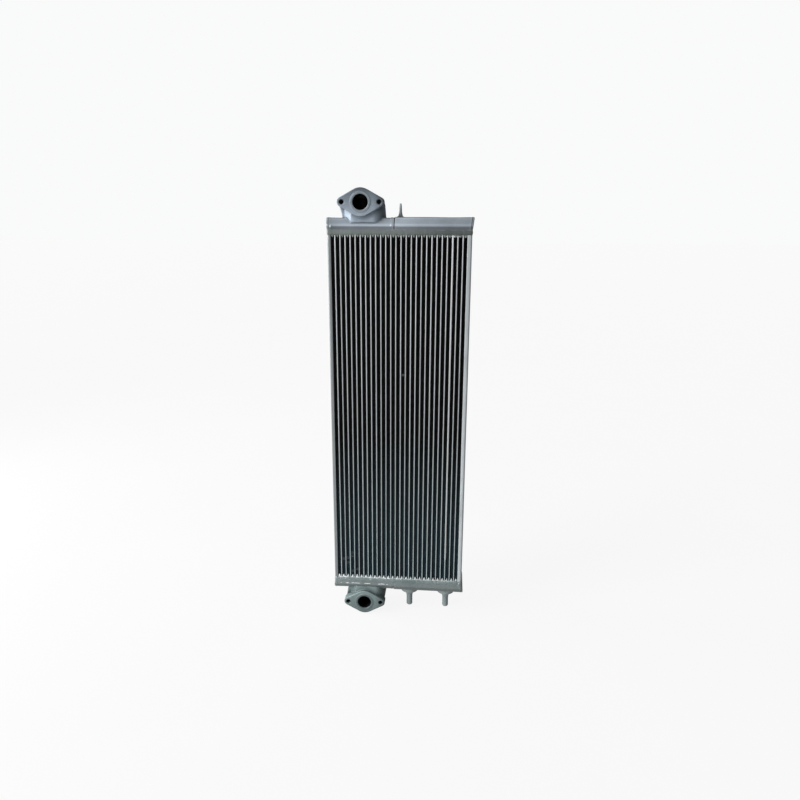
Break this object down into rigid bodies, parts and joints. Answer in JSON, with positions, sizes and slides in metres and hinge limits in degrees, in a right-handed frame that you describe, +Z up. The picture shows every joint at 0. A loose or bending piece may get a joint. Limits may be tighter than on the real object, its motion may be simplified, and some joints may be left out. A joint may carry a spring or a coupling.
{
  "type": "hydraulic oil cooler",
  "caption": "Upright bar-and-plate hydraulic oil cooler: brazed core of oil channels and air fins, folded end tanks, two cast two-bolt flange ports, a top lug and locating pins below.",
  "frame": {"origin": "centre of the overall box, almost at the middle of the core", "axes": "+Z up along the oil channels to the tank with the mounting lug, +Y from the port side to the back, along the air flow, +X to the right seen from the port side"},
  "size_m": [0.3108, 0.1068, 0.9858],
  "materials": {
    "bar_aluminium": "brazed aluminium bar edges, satin, slightly dulled",
    "fin_aluminium": "thin fin stock, dark in its depth",
    "tank_metal": "silver-grey paint over bent sheet, semi-gloss",
    "cast_port": "sand-cast aluminium under silver-grey paint, machined faces",
    "plate_aluminium": "rolled side plate, satin"
  },
  "bodies": {
    "root": {"air_fin_01": "fin_aluminium", "air_fin_02": "fin_aluminium", "air_fin_03": "fin_aluminium", "air_fin_04": "fin_aluminium", "air_fin_05": "fin_aluminium", "air_fin_06": "fin_aluminium", "air_fin_07": "fin_aluminium", "air_fin_08": "fin_aluminium", "air_fin_09": "fin_aluminium", "air_fin_10": "fin_aluminium", "air_fin_11": "fin_aluminium", "air_fin_12": "fin_aluminium", "air_fin_13": "fin_aluminium", "air_fin_14": "fin_aluminium", "air_fin_15": "fin_aluminium", "air_fin_16": "fin_aluminium", "air_fin_17": "fin_aluminium", "air_fin_18": "fin_aluminium", "air_fin_19": "fin_aluminium", "air_fin_20": "fin_aluminium", "air_fin_21": "fin_aluminium", "air_fin_22": "fin_aluminium", "air_fin_23": "fin_aluminium", "air_fin_24": "fin_aluminium", "air_fin_25": "fin_aluminium", "air_fin_26": "fin_aluminium", "air_fin_27": "fin_aluminium", "bottom_port": "cast_port", "bottom_tank_cap_left": "tank_metal", "bottom_tank_cap_right": "tank_metal", "bottom_tank_plain_section": "tank_metal", "bottom_tank_port_section": "tank_metal", "brazed_core": "bar_aluminium", "locating_pin_inner": "cast_port", "locating_pin_outer": "cast_port", "mounting_lug": "cast_port", "side_plate_left": "plate_aluminium", "side_plate_right": "plate_aluminium", "top_port": "cast_port", "top_tank_cap_left": "tank_metal", "top_tank_cap_right": "tank_metal", "top_tank_plain_section": "tank_metal", "top_tank_port_section": "tank_metal"}
  },
  "joints": []
}
